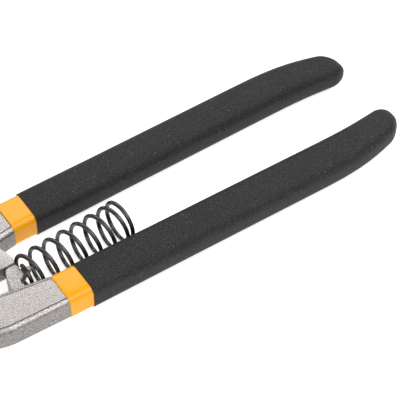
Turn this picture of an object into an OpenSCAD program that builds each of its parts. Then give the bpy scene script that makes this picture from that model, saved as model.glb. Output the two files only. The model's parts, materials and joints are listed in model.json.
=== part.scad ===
// Grass shears: two drop-forged halves crossed on a bolt, with dipped grips and a return spring.
// +X runs from the pivot towards the grips, +Y across the handles, +Z up, millimetres.
// The origin is the middle of the bolt head's flat face, on the pivot axis, where the shears rest.

/* [Grips] */
// Width of a grip at its front edge
grip_w = 18; // [16:0.5:20]
// Height of a grip at its front edge
grip_h = 13.2; // [12:0.2:14]
// Corner radius of the dipped layers at the front of the collar
grip_r = 3.6; // [3:0.1:4.5]
// How much wider, higher and rounder a grip gets behind its front edge
swell = 0.8; // [0:0.1:1]
// Distance from the pivot to the edge of the black outer grip
grip_start = 75; // [70:1:85]
// Distance from the pivot to the end of a grip
grip_end = 238.4; // [200:0.2:250]
// Distance from the middle line to a grip's axis at its front edge
grip_offset = 22.8; // [22:0.1:26]
// How much further out a grip's axis lies for each millimetre towards its end
toe_out = 0.012; // [0:0.001:0.03]
// How far the last stretch of a handle bends in towards the other
end_bend = 6; // [0:0.1:7]
// How much narrower half a grip gets over the last stretch
end_taper = 2.3; // [0:0.1:4]
// Length of that last stretch
bend_l = 45; // [30:0.5:60]
// Length of the rounded end of a grip
end_round = 8.6; // [8:0.1:12]
// Thickness of the black outer layer
outer_t = 0.5; // [0.4:0.1:1]
// Thickness of the coloured inner layer
inner_t = 1; // [0.6:0.1:1.5]
// Length of the inner layer that shows as a collar
collar_l = 10.6; // [8:0.2:16]

/* [Forged halves] */
// Height of a shank
shank_h = 11.3; // [10:0.1:11.8]
// Width of a shank just in front of its collar
shank_w = 16.3; // [15:0.1:16.8]
// Radius of the round boss at the pivot
boss_r = 14; // [13:0.5:16]
// Thickness of each boss
boss_t = 4; // [3.5:0.1:4.4]
// Gap between the two meeting faces
lap_gap = 0.1; // [0.04:0.02:0.3]
// Distance from the pivot to the blade tips
blade_l = 101; // [80:1:120]
// Thickness of a blade
blade_t = 3; // [2:0.1:3.4]
// Width of the ground bevel along the cutting edge
bevel_w = 5; // [3:0.5:7]
// Gap between the stop lugs when the shears are closed
lug_gap = 0.12; // [0.05:0.01:0.3]

/* [Pivot] */
// Diameter of the pivot bolt
bolt_d = 8; // [6:0.5:9]
// Radial play of the bolt in each boss
bolt_play = 0.05; // [0.01:0.01:0.1]
// Radius of the low round bolt head
head_r = 8.6; // [7:0.1:10]
// Width of the lock nut across its flats
nut_af = 13; // [12:0.5:14]
// Height of the lock nut's hexagon
nut_h = 5.4; // [4:0.1:7]

/* [Spring] */
// Diameter of the spring wire
wire_d = 1.86; // [1:0.02:1.9]
// Pitch of the open turns
spring_pitch = 6.78; // [5:0.02:8]
// Mean radius of the first full turn
spring_r = 7.45; // [6:0.05:8]
// How much the mean radius grows for each millimetre along the spring
spring_flare = 0.023; // [0:0.001:0.03]

/* [Hidden] */

mid_z = (grip_h + swell) / 2;
bolt_r = bolt_d / 2;
bore_r = bolt_r + bolt_play;
collar_start = grip_start - collar_l;
tang_end = grip_end - 6;
head_h = mid_z - boss_t - lap_gap / 2;
face_z = mid_z + boss_t + lap_gap / 2;
washer_t = 0.8;
disc_t = 0.6;
disc_rise = 0.35;
cap_h = 1.9;
end_play = 0.02;
skin = 0.02;
lug_top = 3.5;
clear_r = boss_r + 0.6;
steps = 13;
round_steps = 6;
corner_steps = 4;

steel = [0.77, 0.75, 0.74];
dark_steel = [0.13, 0.13, 0.14];
zinc = [0.72, 0.73, 0.75];
orange = [0.98, 0.62, 0.12];
charcoal = [0.17, 0.17, 0.17];

// ---- sections and sweeps -------------------------------------------------------------------

// Distance of the handle's axis from the middle line
function axis_y(x) = grip_offset + toe_out * (x - grip_start) - end_bend * pow(last_stretch(x), 2.5);
function last_stretch(x) = max(0, (x - (grip_end - bend_l)) / bend_l);

// Half width, half height and corner radius of a layer `inset` under the grip's surface
function swell_at(x) = swell * ease((x - grip_start + 8) / 44);
function taper_at(x) = end_taper * pow(last_stretch(x), 2);
function half_w(x, inset) = (grip_w + swell_at(x)) / 2 - taper_at(x) - inset;
function half_h(x, inset) = (grip_h + swell_at(x)) / 2 - taper_at(x) / 2 - inset;
function corner_r(x, inset) =
    grip_r - inset + 1.8 * ease((x - collar_start) / 50) - taper_at(x) / 3;

// Points of a rounded rectangle round [y, z], from its half width, half height and radius
function ring(x, y, z, a, b, r) = [
    for (corner = [0:3], i = [0:corner_steps])
        let (turn = 90 * corner + 90 * i / corner_steps,
             cy = (corner == 0 || corner == 3) ? a - r : r - a,
             cz = corner < 2 ? b - r : r - b)
        [x, y + cy + r * cos(turn), z + cz + r * sin(turn)]
];

// Rings of a handle layer that is `inset` under the grip's surface, from x0 to its rounded end
function layer_rings(x0, inset, tip) =
    let (round_start = tip - end_round + inset)
    concat(
        [for (i = [0:steps]) layer_ring(x0 + (round_start - x0) * i / steps, inset, 1)],
        [for (i = [1:round_steps]) let (turn = 84 * i / round_steps)
            layer_ring(round_start + (end_round - inset) * sin(turn), inset, cos(turn))]
    );
function layer_ring(x, inset, k) =
    ring(x, axis_y(x), mid_z, half_w(x, inset) * k, half_h(x, inset) * k, corner_r(x, inset) * k);

function backwards(list) = [for (i = [len(list) - 1:-1:0]) list[i]];

// Closed solid through a row of rings, with a flat cap on its first and last ring
module sweep(rings) {
    n = len(rings[0]);
    points = [for (one = rings) for (p = one) p];
    sides = [for (k = [0:len(rings) - 2], i = [0:n - 1])
        let (j = (i + 1) % n, a = k * n + i, b = k * n + j, c = a + n, d = b + n)
        each [[a, c, b], [b, c, d]]];
    first_cap = [[for (i = [0:n - 1]) i]];
    last_cap = [[for (i = [n - 1:-1:0]) (len(rings) - 1) * n + i]];
    polyhedron(points, concat(sides, first_cap, last_cap), convexity = 6);
}

// Skin between two layers of a handle, open at its front edge and closed round the end
module skin_cup(x0, outer_inset, inner_inset, outer_tip, inner_tip) {
    sweep(concat(backwards(layer_rings(x0, inner_inset, inner_tip)),
                 layer_rings(x0, outer_inset, outer_tip)));
}

// A part of the right handle is the left one turned over about the middle line
module turned_over() {
    translate([0, 0, mid_z]) rotate([180, 0, 0]) translate([0, 0, -mid_z]) children();
}

module on_left() { mirror([0, 1, 0]) children(); }

// ---- forged halves -------------------------------------------------------------------------

// Inner and outer edge of the shank, as distances from the middle line
function ease(t) = let (u = min(1, max(0, t))) u * u * (3 - 2 * u);
shank_in = axis_y(collar_start) - shank_w / 2;
shank_out = axis_y(collar_start) + shank_w / 2;
function shank_inner(x) = -5.2 + 15.2 * ease((x + 4) / 46) + (shank_in - 10) * ease((x - 28) / 60) * 1.35;
function shank_outer(x) = 12.5 + (shank_out - 14.3) * ease((x + 2) / 42)
    + 1.8 * (x - 4) / (collar_start - 4);

function shank_rings() = [
    for (i = [0:10]) let (x = 4 + (collar_start - skin - 4) * i / 10,
                          low = shank_inner(x), high = shank_outer(x))
        ring(x, (low + high) / 2, mid_z, (high - low) / 2, shank_h / 2, 2.4)
];

// Half blade and boss seen from above, with the cutting edge on the side of the other blade
module blade_outline() {
    polygon(concat(
        [[-13, -5.2], [-blade_l + 3, -1.6]],
        [for (i = [0:4]) let (turn = 250 - 35 * i) [-blade_l + 3 + 3 * cos(turn), 1.2 + 3 * sin(turn)]],
        [for (i = [1:9]) let (t = i / 10) [-blade_l + 4 + (blade_l - 12) * t, 3.9 + 11.6 * sin(90 * t)]],
        [[-2, 13.5], [0, 0], [-8, -8]]
    ));
}

module blade() {
    difference() {
        translate([0, 0, mid_z + lap_gap / 2]) linear_extrude(blade_t) blade_outline();
        // ground bevel on the outer face, running down to the cutting edge
        translate([-blade_l, -1.5, mid_z + lap_gap / 2 + 0.3]) rotate([0, 0, -2.4])
            rotate([atan((blade_t - 0.3) / bevel_w), 0, 0])
                translate([-10, -bevel_w * 3, 0]) cube([blade_l - 6, bevel_w * 4.3, blade_t * 2]);
    }
}

// Stop lug on the shank's inner side, up to the middle line, leaning by `front` and `back`
module lug(x0, x1, front, back) {
    translate([0, 0, mid_z - shank_h / 2 + 1.5]) linear_extrude(shank_h / 2 - 1.5 + lug_top)
        polygon([[x0 - front, 13], [x0 - front * 0.6, 7], [x0, 3.2], [x0 + 1.1, lug_gap / 2 + 0.8],
                 [x0 + 2.6, lug_gap / 2], [x1 - 0.8, lug_gap / 2], [x1, 1.4], [x1, 3.6],
                 [x1 - back, 8], [x1 - back - 0.8, 14]]);
}

// Horn that the spring's first turn grips
module horn() {
    translate([53, -seat_centre[1] - 0.1, mid_z + 0.1]) rotate([0, 75, -3.8]) {
        cylinder(h = 2.6, r = 3.1, $fn = 40);
        translate([0, 0, 2.6]) cylinder(h = 6.4, r1 = 3.1, r2 = 0.8, $fn = 40);
    }
}

// One forged half in its left place: blade, boss, shank, lug and the tang inside the grip
module forging(lug_x0, lug_x1, lug_back, with_horn) {
    difference() {
        union() {
            blade();
            translate([0, 0, mid_z + lap_gap / 2]) cylinder(h = boss_t, r = boss_r, $fn = 96);
            on_left() {
                sweep(shank_rings());
                sweep(layer_rings(collar_start - 1, outer_t + inner_t + skin, tang_end));
                lug(lug_x0, lug_x1, 2.2, lug_back);
                if (with_horn) horn();
            }
        }
        // room for the other half's boss and blade root
        translate([0, 0, -1]) cylinder(h = mid_z + lap_gap / 2 + 1, r = clear_r, $fn = 96);
        // flat seat for the washer or the bolt head
        translate([0, 0, face_z]) cylinder(h = shank_h, r = boss_r, $fn = 96);
        translate([0, 0, -1]) cylinder(h = shank_h + mid_z, r = bore_r, $fn = 64);
    }
}

module left_half() { color(steel) forging(50.6, 56.9, 2.6, true); }
module right_half() { color(steel) turned_over() forging(46.6, 57, 1.2, false); }

// ---- dipped grips --------------------------------------------------------------------------

module sleeve() {
    skin_cup(collar_start, outer_t, outer_t + inner_t, grip_end - outer_t, tang_end + 0.1);
}
module grip() { skin_cup(grip_start, 0, outer_t - skin, grip_end, grip_end - outer_t + skin); }

module left_sleeve() { color(orange) on_left() sleeve(); }
module right_sleeve() { color(orange) sleeve(); }
module left_grip() { color(charcoal) on_left() grip(); }
module right_grip() { color(charcoal) grip(); }

// ---- return spring -------------------------------------------------------------------------

spring_x = 58;
side_line = 13.64;
spring_start = [spring_x, wire_d / 2 + spring_r - side_line, wire_d / 2 + spring_r];
seat_centre = [0, -5.2, mid_z];
seat_r = 4.75;
seat_turn = 120;
first_top = -330;
last_open = 1835;
last_a = 2400;
phase = 396;
lean = unit([1, tan(5), tan(-1.7)]);
end_lift = 0.6;
start_s = spring_pitch * (first_top + phase) / 360;
end_s = spring_pitch * (last_open + phase) / 360;

// Distance along the spring after a turn of `a` degrees: a seated turn, open turns, a closed turn
function along(a) =
    a < first_top - seat_turn ? start_s - spring_pitch * seat_turn / 720 :
    a < first_top ? start_s + opening(a - first_top) :
    a < last_open ? spring_pitch * (a + phase) / 360 :
    end_s + closing((a - last_open) / 360);
function opening(b) = spring_pitch * (b / 360 + b * b / (720 * seat_turn));
function closing(t) = spring_pitch * t - 2.65 * (t < 1 ? t * t : 2 * t - 1);

// 0 in the small turn on the horn, 1 in the open turns; and 0 in the open turns, 1 at the free end
function opened(a) = ease((a - first_top + 330) / 330);
function closed(a) = ease((a - last_open) / 360);

// Wire centre line: the open turns lie on the side of the handle, lean a little and flare out
function coil_point(a) =
    let (s = along(a), k = opened(a),
         full_centre = spring_start + [s, spring_flare * s, spring_flare * s + end_lift * closed(a)],
         centre = k * full_centre + (1 - k) * (seat_centre + [spring_x + s, 0, 0]),
         axis = unit([1, lean[1] * k, lean[2] * k]),
         across = unit([0, 1, 0] - axis * axis[1]),
         r = k * (spring_r + spring_flare * s) + (1 - k) * seat_r)
    centre + r * (cos(a) * across + sin(a) * cross(axis, across));

function unit(v) = v / norm(v);
wire_sides = 10;
function wire_ring(a) =
    let (p = coil_point(a), t = unit(coil_point(a + 2) - coil_point(a - 2)),
         side = unit(cross(t, [0, cos(a), sin(a)])), up = cross(side, t))
    [for (i = [0:wire_sides - 1]) let (w = 360 * i / wire_sides)
        p + wire_d / 2 * (cos(w) * up + sin(w) * side)];

module return_spring() {
    color(dark_steel) sweep([for (a = [first_top - 330:20:last_a]) wire_ring(a)]);
}

// ---- pivot ---------------------------------------------------------------------------------

module pivot_bolt() {
    chamfer = 0.6;
    color(zinc) rotate_extrude($fn = 72)
        polygon([[0, 0], [head_r - chamfer, 0], [head_r, chamfer], [head_r, head_h - end_play],
                 [bolt_r, head_h - end_play], [bolt_r, nut_top + 0.6], [bolt_r - 0.8, nut_top + 1.4],
                 [0, nut_top + 1.4]]);
}

washer_z = face_z + end_play;
disc_z = washer_z + washer_t + end_play;
nut_z = disc_z + disc_t + disc_rise + end_play;
nut_top = nut_z + nut_h + cap_h;

module flat_washer() {
    color(zinc) translate([0, 0, washer_z]) difference() {
        cylinder(h = washer_t, r = 8.4, $fn = 72);
        translate([0, 0, -1]) cylinder(h = washer_t + 2, r = bolt_r + 0.25, $fn = 64);
    }
}

module disc_spring() {
    inner = bolt_r + 0.25;
    outer = 7.6;
    color(dark_steel) translate([0, 0, disc_z]) rotate_extrude($fn = 72)
        polygon([[inner, disc_rise], [outer, 0], [outer, disc_t], [inner, disc_t + disc_rise]]);
}

module lock_nut() {
    collar_r = 5.6;
    color(zinc) translate([0, 0, nut_z]) difference() {
        union() {
            intersection() {
                cylinder(h = nut_h, r = nut_af / sqrt(3), $fn = 6);
                rotate_extrude($fn = 72)
                    polygon([[0, 0], [6.6, 0], [7.6, 0.6], [7.6, nut_h - 0.6], [6.6, nut_h], [0, nut_h]]);
            }
            cylinder(h = nut_h + cap_h, r = collar_r, $fn = 72);
        }
        translate([0, 0, -1]) cylinder(h = nut_h + cap_h + 2, r = bolt_r + end_play, $fn = 64);
        translate([0, 0, nut_h]) cylinder(h = cap_h - 0.3, r = 5, $fn = 64);
    }
}

// Nylon ring held in the nut's collar
module lock_ring() {
    color("white") translate([0, 0, nut_z + nut_h + end_play]) difference() {
        cylinder(h = cap_h - 0.3 - 2 * end_play, r = 5 - end_play, $fn = 64);
        translate([0, 0, -1]) cylinder(h = cap_h + 2, r = bolt_r + end_play, $fn = 64);
    }
}

left_half();
right_half();
left_sleeve();
right_sleeve();
left_grip();
right_grip();
return_spring();
pivot_bolt();
flat_washer();
disc_spring();
lock_nut();
lock_ring();
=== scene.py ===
import json
import math

import bpy
from mathutils import Matrix, Vector


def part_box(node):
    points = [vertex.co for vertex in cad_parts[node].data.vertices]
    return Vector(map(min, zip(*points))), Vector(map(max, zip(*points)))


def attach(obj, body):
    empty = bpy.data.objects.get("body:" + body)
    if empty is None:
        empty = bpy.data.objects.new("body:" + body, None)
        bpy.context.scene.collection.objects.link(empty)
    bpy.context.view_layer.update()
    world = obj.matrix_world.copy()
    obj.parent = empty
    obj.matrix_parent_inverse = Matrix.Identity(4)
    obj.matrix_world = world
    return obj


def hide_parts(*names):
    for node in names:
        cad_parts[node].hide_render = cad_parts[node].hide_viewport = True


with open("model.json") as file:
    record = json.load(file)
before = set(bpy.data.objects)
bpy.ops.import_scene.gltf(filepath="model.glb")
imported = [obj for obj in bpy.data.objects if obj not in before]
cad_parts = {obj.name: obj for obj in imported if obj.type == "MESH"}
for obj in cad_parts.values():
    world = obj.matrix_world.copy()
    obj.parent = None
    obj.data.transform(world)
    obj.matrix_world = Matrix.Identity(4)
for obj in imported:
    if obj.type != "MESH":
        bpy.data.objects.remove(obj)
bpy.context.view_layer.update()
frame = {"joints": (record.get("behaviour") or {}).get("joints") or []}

MM = 0.001

# ---- sizes of the shears, in millimetres --------------------------------------------------------

GRIP_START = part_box("right_grip")[0].x / MM
GRIP_END = 238.4
COLLAR_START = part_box("right_sleeve")[0].x / MM
PIVOT_Z = frame["joints"][0]["pos_m"][2] / MM
GRIP_W, GRIP_H, GRIP_R, SWELL = 18.0, 13.2, 3.6, 0.8
GRIP_OFFSET, TOE_OUT = 22.8, 0.012
END_BEND, END_TAPER, BEND_L, END_ROUND = 6.0, 2.3, 45.0, 8.6
OUTER_T, INNER_T = 0.5, 1.0
SHANK_W, SHANK_H, SHANK_R = 16.3, 11.3, 2.4
BOSS_R, BOSS_T, LAP_GAP = 14.0, 4.0, 0.1
BLADE_L, BLADE_T, BEVEL_W = 101.0, 3.0, 5.0
BOLT_R, HEAD_R, NUT_FLATS, NUT_H, CAP_H = 4.0, 8.6, 13.0, 5.4, 1.9
WASHER_T, DISC_T, DISC_RISE, END_PLAY = 0.8, 0.6, 0.35, 0.02
WIRE_D, PITCH, COIL_R, FLARE = 1.86, 6.78, 7.45, 0.023
FACE_Z = PIVOT_Z + LAP_GAP / 2
SEAT_Z = PIVOT_Z + BOSS_T + LAP_GAP / 2
NUT_Z = SEAT_Z + WASHER_T + DISC_T + DISC_RISE + 3 * END_PLAY
NUT_TOP = NUT_Z + NUT_H + CAP_H

SHANK_START, SHANK_ROWS = 4.0, 24
TANG_GAP, TANG_SHORT = 0.02, 6.0
SKIN_GAP = 0.03
LAST_TURN = 86
BLADE_HEEL, BLADE_NOSE, NOSE_REACH = -13.0, 4 - BLADE_L, 3.8
EDGE_START, EDGE_RISE, EDGE_T = -5.1, 3.5, 0.35
HORN_X, HORN_Y, HORN_Z, HORN_TILT, HORN_SWING = 53.0, -5.1, PIVOT_Z + 0.1, 75, 3.8
LUG_TOP, LUG_LOW = PIVOT_Z + 3.5, PIVOT_Z - SHANK_H / 2 + 1.5
# start and end along X, lean of the front, lean of the back
LEFT_LUG = (50.6, 56.9, 2.2, 2.6)
RIGHT_LUG = (46.6, 57.0, 2.2, 1.2)


def ease(t):
    t = min(1.0, max(0.0, t))
    return t * t * (3 - 2 * t)


def last_stretch(x):
    return max(0.0, (x - (GRIP_END - BEND_L)) / BEND_L)


def axis_y(x):
    """Distance of a handle's axis from the middle line."""
    return GRIP_OFFSET + TOE_OUT * (x - GRIP_START) - END_BEND * last_stretch(x) ** 2.5


# ---- workshop helpers ---------------------------------------------------------------------------


def let_go():
    """Leaves edit mode and deselects everything."""
    if bpy.context.object and bpy.context.object.mode != "OBJECT":
        bpy.ops.object.mode_set(mode="OBJECT")
    bpy.ops.object.select_all(action="DESELECT")


def take(piece):
    """Makes one piece the only one in hand."""
    let_go()
    piece.select_set(True)
    bpy.context.view_layer.objects.active = piece


def name_new(name):
    piece = bpy.context.object
    piece.name = name
    piece.data.name = name
    return piece


def edit(piece):
    take(piece)
    bpy.ops.object.mode_set(mode="EDIT")
    bpy.ops.mesh.select_all(action="DESELECT")


def pick(piece, kind, test):
    """Selects what passes the test: vertices by place, edges by both ends, faces by middle and normal."""
    bpy.ops.object.mode_set(mode="OBJECT")
    mesh = piece.data
    for part in (mesh.vertices, mesh.edges, mesh.polygons):
        part.foreach_set("select", [False] * len(part))
    if kind == "VERT":
        for v in mesh.vertices:
            v.select = test(v.co / MM)
    elif kind == "EDGE":
        for e in mesh.edges:
            a, b = (mesh.vertices[i].co / MM for i in e.vertices)
            e.select = test(a, b)
    else:
        for f in mesh.polygons:
            f.select = test(f.center / MM, f.normal)
    bpy.ops.object.mode_set(mode="EDIT")
    bpy.ops.mesh.select_mode(type=kind)


def modify(piece, kind, **settings):
    """Adds a modifier and applies it."""
    take(piece)
    mod = piece.modifiers.new(kind.lower(), kind)
    for key, value in settings.items():
        setattr(mod, key, value)
    bpy.ops.object.modifier_apply(modifier=mod.name)


def settle(piece):
    """Puts a piece's origin at the pivot and its place into its mesh."""
    take(piece)
    bpy.ops.object.transform_apply(location=True, rotation=True, scale=True)


def outward(piece):
    edit(piece)
    bpy.ops.mesh.select_all(action="SELECT")
    bpy.ops.mesh.remove_doubles(threshold=0.004 * MM)
    bpy.ops.mesh.normals_make_consistent(inside=False)
    bpy.ops.object.mode_set(mode="OBJECT")


def smooth(piece, degrees=35):
    take(piece)
    bpy.ops.object.shade_smooth_by_angle(angle=math.radians(degrees))


def section(x, y, z, half_w, half_h, r, rounding):
    """One rounded rectangle across the X axis, added to the mesh in hand."""
    middle = (x * MM, y * MM, z * MM)
    bpy.ops.mesh.primitive_plane_add(size=1, location=middle, rotation=(0, math.pi / 2, 0))
    bpy.ops.transform.resize(value=(1, 2 * half_w * MM, 2 * half_h * MM), center_override=middle)
    bpy.ops.mesh.bevel(offset_type="OFFSET", offset=r * MM, segments=rounding, affect="VERTICES",
                       clamp_overlap=True)


def loft(name, sections, rounding=7, caps=(True, True)):
    """A body through a row of rounded rectangles (x, y, z, half width, half height, radius)."""
    let_go()
    bpy.ops.mesh.primitive_plane_add(size=MM)
    piece = name_new(name)
    bpy.ops.object.mode_set(mode="EDIT")
    bpy.ops.mesh.select_all(action="SELECT")
    bpy.ops.mesh.delete(type="VERT")
    for one in sections:
        section(*one, rounding)
    bpy.ops.mesh.select_all(action="SELECT")
    bpy.ops.mesh.delete(type="ONLY_FACE")
    bpy.ops.mesh.select_mode(type="EDGE")
    bpy.ops.mesh.select_all(action="SELECT")
    bpy.ops.mesh.bridge_edge_loops()
    for cap, (x, *_) in zip(caps, (sections[0], sections[-1])):
        if cap:
            pick(piece, "EDGE", lambda a, b: abs(a.x - x) < 0.002 and abs(b.x - x) < 0.002)
            bpy.ops.mesh.edge_face_add()
    outward(piece)
    return piece


def turned(name, profile, sides=96, closed=False):
    """A turned part: a disc at the first (radius, height), stepped out through the others."""
    let_go()
    r, z = profile[0]
    bpy.ops.mesh.primitive_circle_add(vertices=sides, radius=r * MM, fill_type="NGON", location=(0, 0, z * MM))
    piece = name_new(name)
    settle(piece)
    bpy.ops.object.mode_set(mode="EDIT")
    bpy.ops.mesh.select_all(action="SELECT")
    for r1, z1 in profile[1:]:
        bpy.ops.mesh.extrude_region_move(TRANSFORM_OT_translate={"value": (0, 0, (z1 - z) * MM)})
        if r1 != r:
            bpy.ops.transform.resize(value=(r1 / r, r1 / r, 1), center_override=(0, 0, z1 * MM))
        r, z = r1, z1
    if closed:
        bpy.ops.mesh.delete(type="ONLY_FACE")
        pick(piece, "FACE", lambda c, n: Vector((c.x, c.y)).length < 0.05)
        bpy.ops.mesh.delete(type="ONLY_FACE")
    outward(piece)
    return piece


def join_up(body, *tools, how="UNION"):
    """Forges the tools onto the body, or cuts them out of it."""
    for tool in tools:
        modify(body, "BOOLEAN", operation=how, solver="EXACT", object=tool)
        bpy.data.objects.remove(tool)
    return body


# ---- finishes -----------------------------------------------------------------------------------


def finish(name, colour, rough, metal=0.0, **more):
    mat = bpy.data.materials.new(name)
    mat.use_nodes = True
    shader = mat.node_tree.nodes["Principled BSDF"]
    shader.inputs["Base Color"].default_value = (*colour, 1)
    shader.inputs["Roughness"].default_value = rough
    shader.inputs["Metallic"].default_value = metal
    for key, value in more.items():
        shader.inputs[key.replace("_", " ")].default_value = value
    return mat, mat.node_tree, shader


def node(tree, kind, **settings):
    made = tree.nodes.new("ShaderNode" + kind)
    for key, value in settings.items():
        setattr(made, key, value)
    return made


def place_of(tree, stretch=(1, 1, 1)):
    """Object coordinates, stretched along the part."""
    coords = node(tree, "TexCoord")
    mapping = node(tree, "Mapping")
    mapping.inputs["Scale"].default_value = stretch
    tree.links.new(coords.outputs["Object"], mapping.inputs["Vector"])
    return mapping.outputs["Vector"]


def grain(tree, place, scale, detail=4.0, roughness=0.6):
    noise = node(tree, "TexNoise")
    noise.inputs["Scale"].default_value = scale
    noise.inputs["Detail"].default_value = detail
    noise.inputs["Roughness"].default_value = roughness
    tree.links.new(place, noise.inputs["Vector"])
    return noise.outputs["Fac"]


def specks(tree, place, scale, low, high):
    """Small separate spots: 1 inside a spot, 0 between them."""
    cells = node(tree, "TexVoronoi", feature="F1")
    cells.inputs["Scale"].default_value = scale
    tree.links.new(place, cells.inputs["Vector"])
    return ramp(tree, cells.outputs["Distance"], (low, (1, 1, 1)), (high, (0, 0, 0)))


def ramp(tree, factor, *stops):
    """Colours at places along a factor."""
    made = node(tree, "ValToRGB")
    band = made.color_ramp
    band.elements[0].position, band.elements[1].position = stops[0][0], stops[-1][0]
    band.elements[0].color = (*stops[0][1], 1)
    band.elements[1].color = (*stops[-1][1], 1)
    for where, colour in stops[1:-1]:
        band.elements.new(where).color = (*colour, 1)
    tree.links.new(factor, made.inputs["Fac"])
    return made.outputs["Color"]


def mixed(tree, factor, one, other, blend="MIX"):
    mix = node(tree, "Mix", data_type="RGBA", blend_type=blend)
    for socket, value in ((mix.inputs[0], factor), (mix.inputs[6], one), (mix.inputs[7], other)):
        if isinstance(value, (int, float)):
            socket.default_value = value
        elif isinstance(value, tuple):
            socket.default_value = (*value, 1)
        else:
            tree.links.new(value, socket)
    return mix.outputs[2]


def bumped(tree, shader, height, strength, depth):
    bump = node(tree, "Bump")
    bump.inputs["Strength"].default_value = strength
    bump.inputs["Distance"].default_value = depth * MM
    tree.links.new(height, bump.inputs["Height"])
    tree.links.new(bump.outputs["Normal"], shader.inputs["Normal"])


def black_dip():
    """Matte charcoal vinyl: fine pebbled skin with dust-light specks."""
    mat, tree, shader = finish("black_dip", (0.02, 0.02, 0.019), 0.55, Specular_IOR_Level=0.26)
    place = place_of(tree)
    clouds = grain(tree, place, 60, 3)
    fine = grain(tree, place, 1700, 3, 0.8)
    cloud = ramp(tree, clouds, (0.3, (0.80, 0.80, 0.79)), (0.7, (1.0, 1.0, 0.99)))
    pebble = ramp(tree, fine, (0.36, (0.003, 0.003, 0.0028)), (0.5, (0.017, 0.0168, 0.0162)),
                  (0.64, (0.045, 0.0445, 0.0425)))
    base = mixed(tree, 1.0, pebble, cloud, "MULTIPLY")
    fleck = specks(tree, place, 620, 0.10, 0.22)
    thin = ramp(tree, grain(tree, place, 330, 2), (0.50, (0, 0, 0)), (0.66, (1, 1, 1)))
    light = mixed(tree, 1.0, fleck, thin, "MULTIPLY")
    colour = mixed(tree, light, base, (0.10, 0.10, 0.097))
    tree.links.new(colour, shader.inputs["Base Color"])
    tree.links.new(ramp(tree, fine, (0.3, (0.5,) * 3), (0.7, (0.7,) * 3)), shader.inputs["Roughness"])
    bumped(tree, shader, fine, 0.5, 0.12)
    return mat


def orange_dip():
    """Glossy yellow-orange vinyl, slightly cloudy, with a faint orange-peel skin."""
    mat, tree, shader = finish("orange_dip", (0.9, 0.4, 0.006), 0.24, Subsurface_Weight=0.06,
                               Specular_IOR_Level=0.36)
    shader.inputs["Subsurface Radius"].default_value = (0.8 * MM, 0.4 * MM, 0.1 * MM)
    place = place_of(tree)
    clouds = grain(tree, place, 90, 3)
    base = ramp(tree, clouds, (0.3, (0.86, 0.35, 0.001)), (0.7, (0.93, 0.39, 0.003)))
    tree.links.new(base, shader.inputs["Base Color"])
    tree.links.new(ramp(tree, clouds, (0.2, (0.11,) * 3), (0.8, (0.16,) * 3)), shader.inputs["Roughness"])
    bumped(tree, shader, grain(tree, place, 260, 2), 0.18, 0.04)
    return mat


def forged_steel(name, tone):
    """Grey sand-blasted forging: fine bright and dark grain, faint darker scale in random cloudy patches."""
    mat, tree, shader = finish(name, (0.5, 0.48, 0.47), 0.45, 0.85)
    place = place_of(tree)
    fine = grain(tree, place, 2600, 3, 0.75)
    mid = grain(tree, place, 420, 4, 0.6)
    clouds = grain(tree, place, 45, 3)
    # tone scales every colour; below 1 it gives a darker copy that is used as painted shade on the shank's sides
    dark, middle, bright = (tuple(tone * c for c in colour) for colour in (
        (0.13, 0.122, 0.117), (0.43, 0.406, 0.392), (0.82, 0.780, 0.757)))
    base = ramp(tree, fine, (0.36, dark), (0.5, middle), (0.64, bright))
    shade = ramp(tree, clouds, (0.3, (0.88, 0.87, 0.86)), (0.7, (1.0, 1.0, 1.0)))
    tree.links.new(mixed(tree, 1.0, base, shade, "MULTIPLY"), shader.inputs["Base Color"])
    tree.links.new(ramp(tree, mid, (0.3, (0.36,) * 3), (0.7, (0.52,) * 3)), shader.inputs["Roughness"])
    bumped(tree, shader, mixed(tree, 0.4, fine, mid), 0.6, 0.12)
    return mat


def ground_steel():
    """Bright ground faces, with fine grinding lines across the blade."""
    mat, tree, shader = finish("ground_steel", (0.4, 0.39, 0.38), 0.45, 0.95)
    lines = grain(tree, place_of(tree, (1.0, 0.03, 0.03)), 2600, 2, 0.6)
    long = grain(tree, place_of(tree), 60, 3)
    base = ramp(tree, lines, (0.3, (0.24, 0.237, 0.233)), (0.7, (0.38, 0.375, 0.37)))
    tree.links.new(base, shader.inputs["Base Color"])
    tree.links.new(ramp(tree, long, (0.3, (0.40,) * 3), (0.7, (0.52,) * 3)), shader.inputs["Roughness"])
    bumped(tree, shader, lines, 0.3, 0.03)
    return mat


def blackened_wire():
    """Oil-blackened spring wire with soft grey rubs on it."""
    mat, tree, shader = finish("blackened_wire", (0.01, 0.01, 0.01), 0.25, 0.0, Specular_IOR_Level=0.9)
    place = place_of(tree)
    rubs = grain(tree, place, 420, 4, 0.65)
    base = ramp(tree, rubs, (0.42, (0.004, 0.0038, 0.0036)), (0.62, (0.014, 0.013, 0.012)),
                (0.80, (0.07, 0.064, 0.06)))
    tree.links.new(base, shader.inputs["Base Color"])
    tree.links.new(ramp(tree, rubs, (0.3, (0.18,) * 3), (0.7, (0.34,) * 3)), shader.inputs["Roughness"])
    bumped(tree, shader, grain(tree, place, 1800, 2), 0.3, 0.03)
    return mat


def zinc_plate():
    """Bright zinc plating with a soft bluish cast and small handling marks."""
    mat, tree, shader = finish("zinc_plate", (0.66, 0.67, 0.69), 0.3, 0.95)
    place = place_of(tree)
    marks = grain(tree, place, 160, 5, 0.65)
    base = ramp(tree, marks, (0.3, (0.52, 0.53, 0.55)), (0.7, (0.72, 0.73, 0.75)))
    tree.links.new(base, shader.inputs["Base Color"])
    tree.links.new(ramp(tree, marks, (0.3, (0.22,) * 3), (0.7, (0.42,) * 3)), shader.inputs["Roughness"])
    bumped(tree, shader, grain(tree, place, 900, 3), 0.25, 0.03)
    return mat


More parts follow.
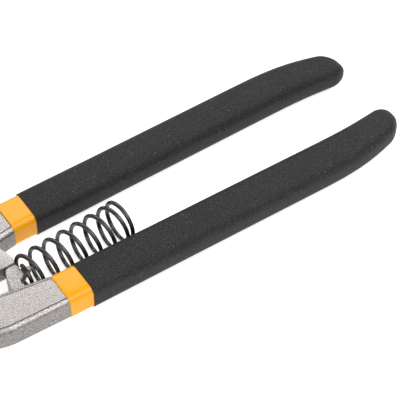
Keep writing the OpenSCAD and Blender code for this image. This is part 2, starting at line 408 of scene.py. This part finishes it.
def dark_disc():
    """Phosphate-dark spring washer."""
    mat, tree, shader = finish("dark_disc", (0.08, 0.08, 0.08), 0.42, 0.8)
    marks = grain(tree, place_of(tree), 500, 4)
    tree.links.new(ramp(tree, marks, (0.3, (0.05,) * 3), (0.7, (0.13,) * 3)), shader.inputs["Base Color"])
    bumped(tree, shader, marks, 0.3, 0.03)
    return mat


def nylon():
    """Milky blue-white locking nylon."""
    mat, tree, shader = finish("nylon", (0.62, 0.7, 0.78), 0.45, Subsurface_Weight=0.2)
    shader.inputs["Subsurface Radius"].default_value = (0.5 * MM,) * 3
    clouds = grain(tree, place_of(tree), 600, 3)
    base = ramp(tree, clouds, (0.3, (0.55, 0.64, 0.74)), (0.7, (0.68, 0.75, 0.82)))
    tree.links.new(base, shader.inputs["Base Color"])
    return mat


def paper():
    """Plain pale floor with the faintest tooth."""
    mat, tree, shader = finish("paper", (0.93, 0.93, 0.93), 0.9, Specular_IOR_Level=0.1,
                               Emission_Strength=0.68)
    shader.inputs["Emission Color"].default_value = (1, 1, 1, 1)
    tooth = grain(tree, place_of(tree), 300, 2)
    tree.links.new(ramp(tree, tooth, (0.3, (0.74,) * 3), (0.7, (0.76,) * 3)), shader.inputs["Base Color"])
    return mat


# ---- dipped handles -----------------------------------------------------------------------------


def layer_sections(x0, inset, tip, side, stations=16, turns=12):
    """Sections of the handle surface `inset` under the grip's skin, with a rounded end."""
    def one(x, k):
        late = last_stretch(x) ** 2
        swell = SWELL * ease((x - GRIP_START + 8) / 44)
        half_w = (GRIP_W + swell) / 2 - END_TAPER * late - inset
        half_h = (GRIP_H + swell) / 2 - END_TAPER / 2 * late - inset
        r = GRIP_R - inset + 1.8 * ease((x - COLLAR_START) / 50) - END_TAPER / 3 * late
        return (x, side * axis_y(x), PIVOT_Z, half_w * k, half_h * k, r * k)
    round_start = tip - END_ROUND + inset
    body = [one(x0 + (round_start - x0) * i / stations, 1) for i in range(stations + 1)]
    for i in range(1, turns + 1):
        turn = math.radians(LAST_TURN * i / turns)
        body.append(one(round_start + (END_ROUND - inset) * math.sin(turn), math.cos(turn)))
    return body


def dipped_layer(name, x0, inset, tip, side, thick, edge):
    """A thin skin with a rounded front edge, open at the front and closed round the end."""
    piece = loft(name, layer_sections(x0, inset, tip, side), caps=(False, True))
    modify(piece, "SOLIDIFY", thickness=thick * MM, offset=-1, use_even_offset=True)
    modify(piece, "BEVEL", width=edge * MM, segments=3, limit_method="ANGLE", angle_limit=math.radians(60))
    modify(piece, "SUBSURF", levels=1, render_levels=1)
    smooth(piece, 60)
    return piece


def grip(name, side):
    return dipped_layer(name, GRIP_START, 0, GRIP_END, side, OUTER_T - SKIN_GAP, 0.16)


def sleeve(name, side):
    return dipped_layer(name, COLLAR_START, OUTER_T, GRIP_END - OUTER_T, side, INNER_T - SKIN_GAP, 0.3)


# ---- forged halves ------------------------------------------------------------------------------

SHANK_IN = axis_y(COLLAR_START) - SHANK_W / 2
SHANK_OUT = axis_y(COLLAR_START) + SHANK_W / 2


def shank_inner(x):
    return -5.2 + 15.2 * ease((x + 4) / 46) + (SHANK_IN - 10) * ease((x - 28) / 60) * 1.35


def shank_outer(x):
    return 12.5 + (SHANK_OUT - 14.3) * ease((x + 2) / 42) + 1.8 * (x - SHANK_START) / (COLLAR_START - SHANK_START)


def near_corner(c):
    """Whether a point lies where a flat face of the shank meets its rounded corner."""
    inner, outer = shank_inner(c.x) + SHANK_R, shank_outer(c.x) - SHANK_R
    return min(abs(-c.y - inner), abs(-c.y - outer)) < 0.13


def shank(name):
    rows = []
    for i in range(SHANK_ROWS + 1):
        x = SHANK_START + (COLLAR_START - 0.02 - SHANK_START) * i / SHANK_ROWS
        low, high = shank_inner(x), shank_outer(x)
        rows.append((x, -(low + high) / 2, PIVOT_Z, (high - low) / 2, SHANK_H / 2, SHANK_R))
    piece = loft(name, rows, rounding=8)
    # crease where the flat faces meet the rounded corners
    edit(piece)
    for up in (1, -1):
        pick(piece, "EDGE", lambda a, b: (min(up * (a.z - PIVOT_Z), up * (b.z - PIVOT_Z)) > SHANK_H / 2 - 0.01
                                          and abs(a.x - b.x) > 0.5))
        bpy.ops.mesh.bevel(offset=0.2 * MM, segments=2, affect="EDGES")
        pick(piece, "VERT", lambda c: up * (c.z - PIVOT_Z) > SHANK_H / 2 - 0.2 and near_corner(c))
        bpy.ops.transform.translate(value=(0, 0, -up * 0.65 * MM))
    bpy.ops.object.mode_set(mode="OBJECT")
    return piece


def tang(name):
    rows = layer_sections(COLLAR_START - 1, OUTER_T + INNER_T + TANG_GAP, GRIP_END - TANG_SHORT, -1, 14, 8)
    return loft(name, rows, rounding=5)


def edge_y(x):
    """Cutting edge of the left blade."""
    return EDGE_START + EDGE_RISE * (BLADE_HEEL - x) / (BLADE_HEEL - BLADE_NOSE)


def spine_y(x):
    """Arched back of the left blade."""
    return 3.9 + 11.6 * math.sin(math.pi / 2 * (x - BLADE_NOSE) / (BLADE_L - 12))


def blade(name):
    """Half blade extruded station by station from its root, with a ground bevel on its edge."""
    z, nose = FACE_Z, BLADE_NOSE
    stations = [(-1.5, -7.6, 13.5), (-8, -7.0, 14.3), (BLADE_HEEL, edge_y(BLADE_HEEL), 14.85)]
    # straight cutting edge, arched spine
    for i in range(1, 17):
        x = BLADE_HEEL + (nose - BLADE_HEEL) * i / 16
        stations.append((x, edge_y(x), spine_y(x)))
    # rounded nose
    centre, reach = (edge_y(nose) + spine_y(nose)) / 2, (spine_y(nose) - edge_y(nose)) / 2
    for i in range(1, 9):
        turn = math.radians(LAST_TURN * i / 8)
        half = reach * math.cos(turn)
        stations.append((nose - NOSE_REACH * math.sin(turn), centre - half, centre + half))
    x, low, high = stations[0]
    let_go()
    middle = (z + BLADE_T / 2) * MM
    bpy.ops.mesh.primitive_plane_add(size=1, location=(x * MM, (low + high) / 2 * MM, middle),
                                     rotation=(0, math.pi / 2, 0))
    piece = name_new(name)
    bpy.ops.transform.resize(value=(1, (high - low) * MM, BLADE_T * MM))
    settle(piece)
    edit(piece)
    bpy.ops.mesh.select_all(action="SELECT")
    for new_x, new_low, new_high in stations[1:]:
        bpy.ops.mesh.extrude_region_move(TRANSFORM_OT_translate={
            "value": ((new_x - x) * MM, (new_low + new_high - low - high) / 2 * MM, 0)})
        bpy.ops.transform.resize(value=(1, (new_high - new_low) / (high - low), 1), center_override=(
            new_x * MM, (new_low + new_high) / 2 * MM, middle))
        x, low, high = new_x, new_low, new_high
    # ground bevel along the cutting edge
    lean = math.atan2(EDGE_RISE, BLADE_HEEL - BLADE_NOSE)
    bpy.ops.mesh.select_all(action="SELECT")
    bpy.ops.mesh.bisect(plane_co=(BLADE_HEEL * MM, (edge_y(BLADE_HEEL) + BEVEL_W) * MM, z * MM),
                        plane_no=(math.sin(lean), math.cos(lean), 0))
    outward(piece)
    edit(piece)
    pick(piece, "VERT", lambda c: c.z > z + 1 and c.x < -16 and c.y < edge_y(c.x) + 0.6)
    bpy.ops.transform.translate(value=(0, 0, -(BLADE_T - EDGE_T) * MM))
    # thin the nose in four steps
    for i in range(1, 5):
        start = nose - NOSE_REACH * math.sin(math.radians(LAST_TURN * i / 8)) + 0.05
        pick(piece, "VERT", lambda c: c.z > z + 0.9 and c.x < start)
        bpy.ops.transform.translate(value=(0, 0, -(BLADE_T - EDGE_T) / 4 * MM))
    bpy.ops.object.mode_set(mode="OBJECT")
    return piece


def lug(name, x0, x1, front, back):
    """Stop lug: a plate at its nose, extruded station by station into the shank's inner side."""
    middle = (LUG_LOW + LUG_TOP) / 2 * MM
    stations = [(0.07, 2.6, -0.8), (0.35, 1.85, -0.3), (0.87, 1.1, -0.1), (1.8, 0.45, 0), (3.2, 0, 0),
                (5.0, -0.35 * front, -0.3 * back), (7.0, -0.6 * front, -0.75 * back),
                (9.5, -0.75 * front, -back - 0.2), (13.8, -front, -back - 0.8)]
    y, left, right = stations[0][0], x0 + stations[0][1], x1 + stations[0][2]
    let_go()
    bpy.ops.mesh.primitive_plane_add(size=1, location=((left + right) / 2 * MM, -y * MM, middle),
                                     rotation=(math.pi / 2, 0, 0))
    piece = name_new(name)
    bpy.ops.transform.resize(value=((right - left) * MM, 1, (LUG_TOP - LUG_LOW) * MM))
    settle(piece)
    edit(piece)
    bpy.ops.mesh.select_all(action="SELECT")
    for depth, from_front, from_back in stations[1:]:
        bpy.ops.mesh.extrude_region_move(TRANSFORM_OT_translate={"value": (0, (y - depth) * MM, 0)})
        new_left, new_right, y = x0 + from_front, x1 + from_back, depth
        bpy.ops.transform.resize(value=((new_right - new_left) / (right - left), 1, 1),
                                 center_override=((left + right) / 2 * MM, -y * MM, middle))
        bpy.ops.transform.translate(value=((new_left + new_right - left - right) / 2 * MM, 0, 0))
        left, right = new_left, new_right
    outward(piece)
    modify(piece, "BEVEL", width=0.55 * MM, segments=3, limit_method="ANGLE", angle_limit=math.radians(50))
    return piece


def horn(name):
    """Blunt pointed peg that the first turn of the spring grips, turned and then laid along X."""
    piece = turned(name, [(3.1, -2), (3.1, 2.5), (2.85, 3.3), (2.3, 5.0), (1.7, 6.7), (1.1, 8.3), (0.6, 8.9),
                          (0.2, 9.0)], sides=40)
    take(piece)
    piece.rotation_euler = (0, math.radians(HORN_TILT), math.radians(HORN_SWING))
    piece.location = (HORN_X * MM, HORN_Y * MM, HORN_Z * MM)
    settle(piece)
    return piece


def forging(name, lug_sizes, with_horn):
    """One forged half in its left place."""
    top = FACE_Z + BOSS_T
    boss = turned("boss", [(BOSS_R - 0.4, FACE_Z), (BOSS_R, FACE_Z + 0.4), (BOSS_R, top - 0.6),
                           (BOSS_R - 0.6, top), (0.2, top)])
    extras = [boss, tang("tang"), lug("lug", *lug_sizes)]
    if with_horn:
        extras.append(horn("horn"))
    body = shank(name)
    cutters = [
        turned("room", [(BOSS_R + 0.6, -1), (BOSS_R + 0.6, FACE_Z), (0.2, FACE_Z)]),
        turned("seat", [(BOSS_R, top), (BOSS_R, top + 9), (0.2, top + 9)]),
        turned("bore", [(BOLT_R + 0.05, -2), (BOLT_R + 0.05, 2 * PIVOT_Z + 2), (0.2, 2 * PIVOT_Z + 2)],
               sides=64),
    ]
    join_up(body, *cutters[:2], how="DIFFERENCE")
    join_up(body, *extras)
    join_up(body, blade("blade"))
    join_up(body, cutters[2], how="DIFFERENCE")
    outward(body)
    smooth(body, 32)
    return body


def turn_over(piece):
    """Turns a left half over about the X axis at mid height, to lie as the right one."""
    take(piece)
    piece.rotation_euler = (math.pi, 0, 0)
    piece.location = (0, 0, 2 * PIVOT_Z * MM)
    settle(piece)
    return piece


def mark_ground(piece, side):
    """Gives a half its three finishes: forged, brighter on ground faces, and painted shade on the shank's sides,
    a darker copy of the forged steel.
    """
    for one in (FORGED, GROUND, SHADED_SIDE_STEEL):
        piece.data.materials.append(one)
    for f in piece.data.polygons:
        up = f.normal.z * side
        x = f.center.x / MM
        bevel_face = x < -16 and 0.3 < up < 0.985
        meeting_face = up < -0.97 and abs(f.center.z / MM - PIVOT_Z) < 0.2 and x < 14.5
        edge_face = x < -14 and abs(f.normal.z) < 0.3 and f.center.y * side / MM < 1.0
        seat_face = up > 0.97 and abs(abs(f.center.z / MM - PIVOT_Z) - BOSS_T - LAP_GAP / 2) < 0.05
        # side faces of the shank take the darker copy of the forged steel: painted shade, not a different finish
        shaded_side_face = x > 6 and abs(f.normal.z) < 0.5
        ground = bevel_face or meeting_face or edge_face or seat_face
        f.material_index = 1 if ground else 2 if shaded_side_face else 0


# ---- return spring ------------------------------------------------------------------------------

SPRING_X, SIDE_LINE = 58.0, 13.64
SEAT_Y, SEAT_R, SEAT_TURN = -5.2, 4.75, 120.0
FIRST_TOP, LAST_OPEN, LAST_A, PHASE, END_LIFT = -330.0, 1835.0, 2400.0, 396.0, 0.6
LEAD_IN, TURN_STEP, CLOSING = 330, 10, 2.65


def along(a):
    """Distance along the spring after a turn of `a` degrees."""
    start = PITCH * (FIRST_TOP + PHASE) / 360
    if a < FIRST_TOP - SEAT_TURN:
        return start - PITCH * SEAT_TURN / 720
    if a < FIRST_TOP:
        b = a - FIRST_TOP
        return start + PITCH * (b / 360 + b * b / (720 * SEAT_TURN))
    if a < LAST_OPEN:
        return PITCH * (a + PHASE) / 360
    t = (a - LAST_OPEN) / 360
    return PITCH * (LAST_OPEN + PHASE) / 360 + PITCH * t - CLOSING * (t * t if t < 1 else 2 * t - 1)


def coil_point(a):
    """Middle of the wire: a small turn on the horn, open turns beside the handle, a closed free end."""
    s, k = along(a), ease((a - FIRST_TOP + LEAD_IN) / LEAD_IN)
    lift = FLARE * s + END_LIFT * ease((a - LAST_OPEN) / 360)
    full = Vector((SPRING_X + s, WIRE_D / 2 + COIL_R - SIDE_LINE + FLARE * s, WIRE_D / 2 + COIL_R + lift))
    small = Vector((SPRING_X + s, SEAT_Y, PIVOT_Z))
    axis = Vector((1, math.tan(math.radians(5)) * k, -math.tan(math.radians(1.7)) * k)).normalized()
    across = (Vector((0, 1, 0)) - axis * axis.y).normalized()
    r = k * (COIL_R + FLARE * s) + (1 - k) * SEAT_R
    turn = math.radians(a)
    return (full * k + small * (1 - k)
            + (across * math.cos(turn) + axis.cross(across) * math.sin(turn)) * r)


def spring(name):
    """Spring wire drawn as one smooth path, thickened, with cut ends."""
    start = FIRST_TOP - LEAD_IN
    turns = [start + TURN_STEP * i for i in range(int((LAST_A - start) / TURN_STEP) + 1)]
    let_go()
    bpy.ops.curve.primitive_nurbs_path_add(radius=MM)
    piece = name_new(name)
    curve = piece.data
    curve.splines.clear()
    path = curve.splines.new("NURBS")
    path.points.add(len(turns) - 1)
    for point, a in zip(path.points, turns):
        point.co = (*(coil_point(a) * MM), 1)
    path.use_endpoint_u = True
    path.order_u = 3
    path.resolution_u = 2
    curve.dimensions = "3D"
    curve.twist_mode = "MINIMUM"
    curve.bevel_depth = WIRE_D / 2 * MM
    curve.bevel_resolution = 4
    curve.use_fill_caps = True
    settle(piece)
    bpy.ops.object.convert(target="MESH")
    piece = bpy.context.object
    outward(piece)
    modify(piece, "BEVEL", width=0.18 * MM, segments=2, limit_method="ANGLE", angle_limit=math.radians(60))
    smooth(piece, 50)
    return piece


# ---- pivot --------------------------------------------------------------------------------------


def bolt(name):
    """Low round head with a softened rim, plain shank, and rings for the thread at its free end."""
    head = PIVOT_Z - BOSS_T - LAP_GAP / 2 - END_PLAY
    profile = [(0.3, 0.0), (HEAD_R - 1.3, 0.0), (HEAD_R - 0.55, 0.12), (HEAD_R - 0.15, 0.45), (HEAD_R, 0.9),
               (HEAD_R, head - 0.15), (HEAD_R - 0.15, head), (BOLT_R, head), (BOLT_R, NUT_Z - 0.3)]
    pitch, root = 0.62, 0.32
    z = NUT_Z - 0.3
    while z < NUT_TOP + 0.5:
        profile += [(BOLT_R - root, z + 0.3), (BOLT_R, z + pitch)]
        z += pitch
    profile += [(BOLT_R - 0.75, NUT_TOP + 1.4), (0.3, NUT_TOP + 1.4)]
    piece = turned(name, profile)
    smooth(piece, 30)
    return piece


def ring(name, inner, outer, low, high, chamfer=0.08, rise=0.0):
    """A turned ring with softened edges; `rise` lifts its inner edge, as on a spring disc."""
    c = chamfer
    profile = [(inner, low + rise), (outer - c, low), (outer, low + c), (outer, high - c), (outer - c, high),
               (inner + c, high + rise), (inner, high + rise - c), (inner, low + rise)]
    piece = turned(name, profile, closed=True)
    smooth(piece, 30)
    return piece


def nut(name):
    """Hexagon with turned corners and a plain collar that holds the nylon ring."""
    corner = NUT_FLATS / math.sqrt(3)
    blank = turned(name, [(corner, NUT_Z), (corner, NUT_Z + NUT_H)], sides=6)
    chamfer = turned("chamfer", [(6.6, NUT_Z - 0.001), (7.65, NUT_Z + 0.6), (7.65, NUT_Z + NUT_H - 0.6),
                                 (6.3, NUT_Z + NUT_H + 0.001)])
    join_up(blank, chamfer, how="INTERSECT")
    collar = turned("collar", [(5.6, NUT_Z + 1), (5.6, NUT_TOP - 0.9), (5.4, NUT_TOP - 0.35), (5.0, NUT_TOP)])
    join_up(blank, collar)
    bore = turned("bore", [(BOLT_R + END_PLAY, NUT_Z - 1), (BOLT_R + END_PLAY, NUT_TOP + 1)], sides=64)
    pocket = turned("pocket", [(5, NUT_Z + NUT_H), (5, NUT_TOP - 0.3), (4.5, NUT_TOP - 0.1), (4.4, NUT_TOP + 1)],
                    sides=64)
    join_up(blank, bore, pocket, how="DIFFERENCE")
    modify(blank, "BEVEL", width=0.1 * MM, segments=2, limit_method="ANGLE", angle_limit=math.radians(40))
    outward(blank)
    smooth(blank, 30)
    return blank


# ---- camera, light and floor --------------------------------------------------------------------


LENS, SENSOR_W = 142.55, 36
CAMERA_AT = Vector((-0.10582, -0.37550, 0.51642))
CAMERA_AHEAD = Vector((0.36532926, 0.54135356, -0.75727858))
CAMERA_UP = Vector((0.42360958, 0.62771473, 0.65309199))
STAGE_MIDDLE = (0.1, 0, 0)


def aim(obj, target):
    obj.rotation_euler = (Vector(target) - obj.location).to_track_quat("-Z", "Y").to_euler()


def set_stage():
    scene = bpy.context.scene
    scene.view_settings.view_transform = "Standard"
    cam = bpy.data.cameras.new("camera")
    cam.lens = LENS
    cam.sensor_width = SENSOR_W
    cam_obj = bpy.data.objects.new("camera", cam)
    scene.collection.objects.link(cam_obj)
    across = CAMERA_AHEAD.cross(CAMERA_UP)
    turn = Matrix((across, CAMERA_UP, -CAMERA_AHEAD)).transposed().to_4x4()
    cam_obj.matrix_world = Matrix.Translation(CAMERA_AT) @ turn
    scene.camera = cam_obj

    world = bpy.data.worlds.new("studio")
    scene.world = world
    world.use_nodes = True
    world.node_tree.nodes["Background"].inputs["Color"].default_value = (1, 1, 1, 1)
    world.node_tree.nodes["Background"].inputs["Strength"].default_value = 0.36

    def soft_box(name, direction, size, brightness):
        """A soft box one metre from the shears, as bright as asked for."""
        light = bpy.data.lights.new(name, "AREA")
        light.shape = "RECTANGLE"
        light.size, light.size_y = size
        light.energy = brightness * math.pi * size[0] * size[1]
        obj = bpy.data.objects.new(name, light)
        obj.location = Vector(STAGE_MIDDLE) + Vector(direction).normalized()
        scene.collection.objects.link(obj)
        aim(obj, STAGE_MIDDLE)

    soft_box("back_box", (0.365, 0.66, 0.68), (1.4, 0.5), 2.3)
    soft_box("front_box", (0.35, -0.36, 0.86), (1.3, 0.68), 2.9)
    soft_box("left_box", (-0.85, -0.15, 0.5), (0.5, 0.5), 2.4)

    let_go()
    bpy.ops.mesh.primitive_plane_add(size=8, location=(0, 0, 0))
    floor = name_new("floor")
    bpy.ops.object.mode_set(mode="EDIT")
    bpy.ops.mesh.subdivide(number_cuts=3)
    bpy.ops.object.mode_set(mode="OBJECT")
    floor.data.materials.append(paper())


# ---- making the shears --------------------------------------------------------------------------

set_stage()

BLACK, ORANGE, GROUND = black_dip(), orange_dip(), ground_steel()
# the second forged steel is the same finish at 0.6 of its brightness, a painted-shade copy for the shank's side
# faces
FORGED, SHADED_SIDE_STEEL = forged_steel("forged_steel", 1.0), forged_steel("forged_steel_painted_side_shade", 0.6)
WIRE, ZINC, DISC, NYLON = blackened_wire(), zinc_plate(), dark_disc(), nylon()


def fit(piece, body, cad_node, slot, *finishes):
    for one in finishes:
        piece.data.materials.append(one)
    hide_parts(cad_node)
    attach(piece, body)


for side, word in ((-1, "left"), (1, "right")):
    fit(grip(word + "_grip_dip", side), word + "_side", word + "_grip", "outer_dip", BLACK)
    fit(sleeve(word + "_collar_dip", side), word + "_side", word + "_sleeve", "inner_dip", ORANGE)

left = forging("left_forging", LEFT_LUG, True)
mark_ground(left, 1)
fit(left, "left_side", "left_half", "forged_steel")
right = turn_over(forging("right_forging", RIGHT_LUG, False))
mark_ground(right, -1)
fit(right, "right_side", "right_half", "forged_steel")

fit(spring("coil_spring"), "left_side", "return_spring", "spring_steel", WIRE)

washer_z = SEAT_Z + END_PLAY
disc_z = washer_z + WASHER_T + END_PLAY
fit(bolt("turned_bolt"), "left_side", "pivot_bolt", "plated_steel", ZINC)
fit(ring("plain_washer", BOLT_R + 0.25, 8.4, washer_z, washer_z + WASHER_T), "left_side", "flat_washer",
    "plated_steel", ZINC)
fit(ring("spring_disc", BOLT_R + 0.25, 7.6, disc_z, disc_z + DISC_T, 0.06, DISC_RISE), "left_side",
    "disc_spring", "spring_steel", DISC)
fit(nut("hexagon_nut"), "left_side", "lock_nut", "plated_steel", ZINC)
fit(ring("nylon_ring", BOLT_R + END_PLAY, 5 - END_PLAY, NUT_Z + NUT_H + END_PLAY, NUT_TOP - 0.3 - END_PLAY),
    "left_side", "lock_ring", "nylon", NYLON)
